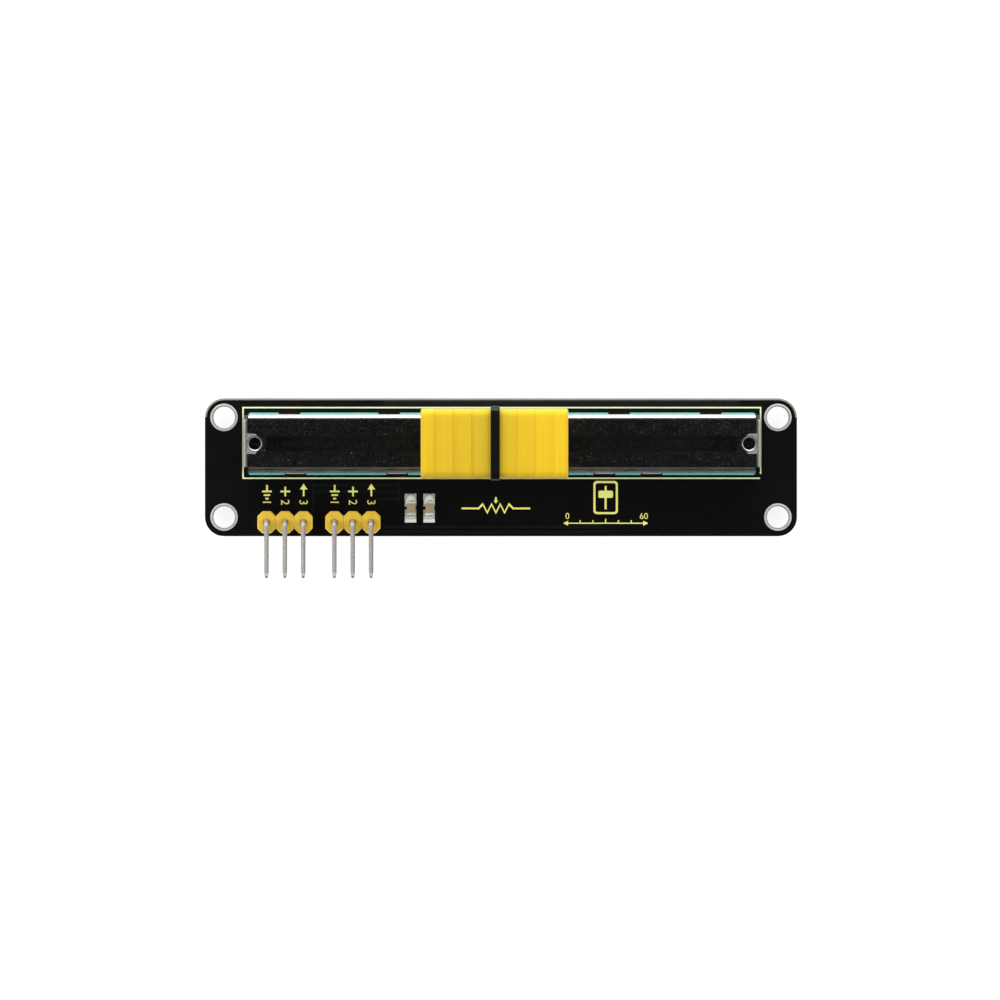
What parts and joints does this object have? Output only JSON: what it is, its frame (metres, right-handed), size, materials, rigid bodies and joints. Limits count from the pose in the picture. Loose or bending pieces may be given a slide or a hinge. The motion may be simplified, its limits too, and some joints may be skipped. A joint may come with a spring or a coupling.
{
  "type": "slide potentiometer",
  "caption": "Slide potentiometer with a scooped finger knob, soldered to a small breakout board with bent pin headers and corner mounting holes.",
  "frame": {"origin": "centre of the four mounting holes, on the solder face of the board", "axes": "+X along the slider's travel, away from the header end; +Y across the board from the headers to the potentiometer; +Z from the solder face to the knob"},
  "size_m": [0.082, 0.0248, 0.0215],
  "materials": {
    "board_mask": "satin solder mask",
    "ring_plating": "tin plated",
    "board_ink": "matt ink",
    "housing_plastic": "satin",
    "pin_plating": "bright tin",
    "solder": "bright",
    "chip_ceramic": "fired",
    "chip_plating": "tin plated",
    "case_steel": "bright plated sheet",
    "element_phenolic": "satin laminate",
    "carbon": "matt",
    "silver_track": "satin",
    "terminal_plating": "tin plated",
    "carriage_plastic": "satin",
    "lever_steel": "plated",
    "wiper_metal": "spring bronze",
    "knob_plastic": "satin moulded",
    "pointer_plastic": "satin"
  },
  "bodies": {
    "board": {"pcb": "board_mask", "mounting_ring_1": "ring_plating", "mounting_ring_2": "ring_plating", "mounting_ring_3": "ring_plating", "mounting_ring_4": "ring_plating", "silkscreen": "board_ink", "header_housing_1": "housing_plastic", "header_housing_2": "housing_plastic", "header_pin_1": "pin_plating", "header_pin_2": "pin_plating", "header_pin_3": "pin_plating", "header_pin_4": "pin_plating", "header_pin_5": "pin_plating", "header_pin_6": "pin_plating", "header_solder": "solder", "chip_body_1": "chip_ceramic", "chip_body_2": "chip_ceramic", "chip_ends_1": "chip_plating", "chip_ends_2": "chip_plating", "chip_solder_1": "solder", "chip_solder_2": "solder", "pot_case": "case_steel", "element_board": "element_phenolic", "carbon_track_1": "carbon", "carbon_track_2": "carbon", "collector_track_1": "silver_track", "collector_track_2": "silver_track", "terminal_1": "terminal_plating", "terminal_2": "terminal_plating", "terminal_3": "terminal_plating", "terminal_4": "terminal_plating", "terminal_5": "terminal_plating", "terminal_6": "terminal_plating", "terminal_solder": "solder"},
    "slider": {"carriage": "carriage_plastic", "lever": "lever_steel", "wiper_1": "wiper_metal", "wiper_2": "wiper_metal", "knob": "knob_plastic", "pointer_bar": "pointer_plastic"}
  },
  "joints": [
    {"name": "fader_slide", "type": "slide", "parent": "board", "child": "slider", "axis": [1, 0, 0], "range_m": [-0.02897, 0.03103]}
  ]
}
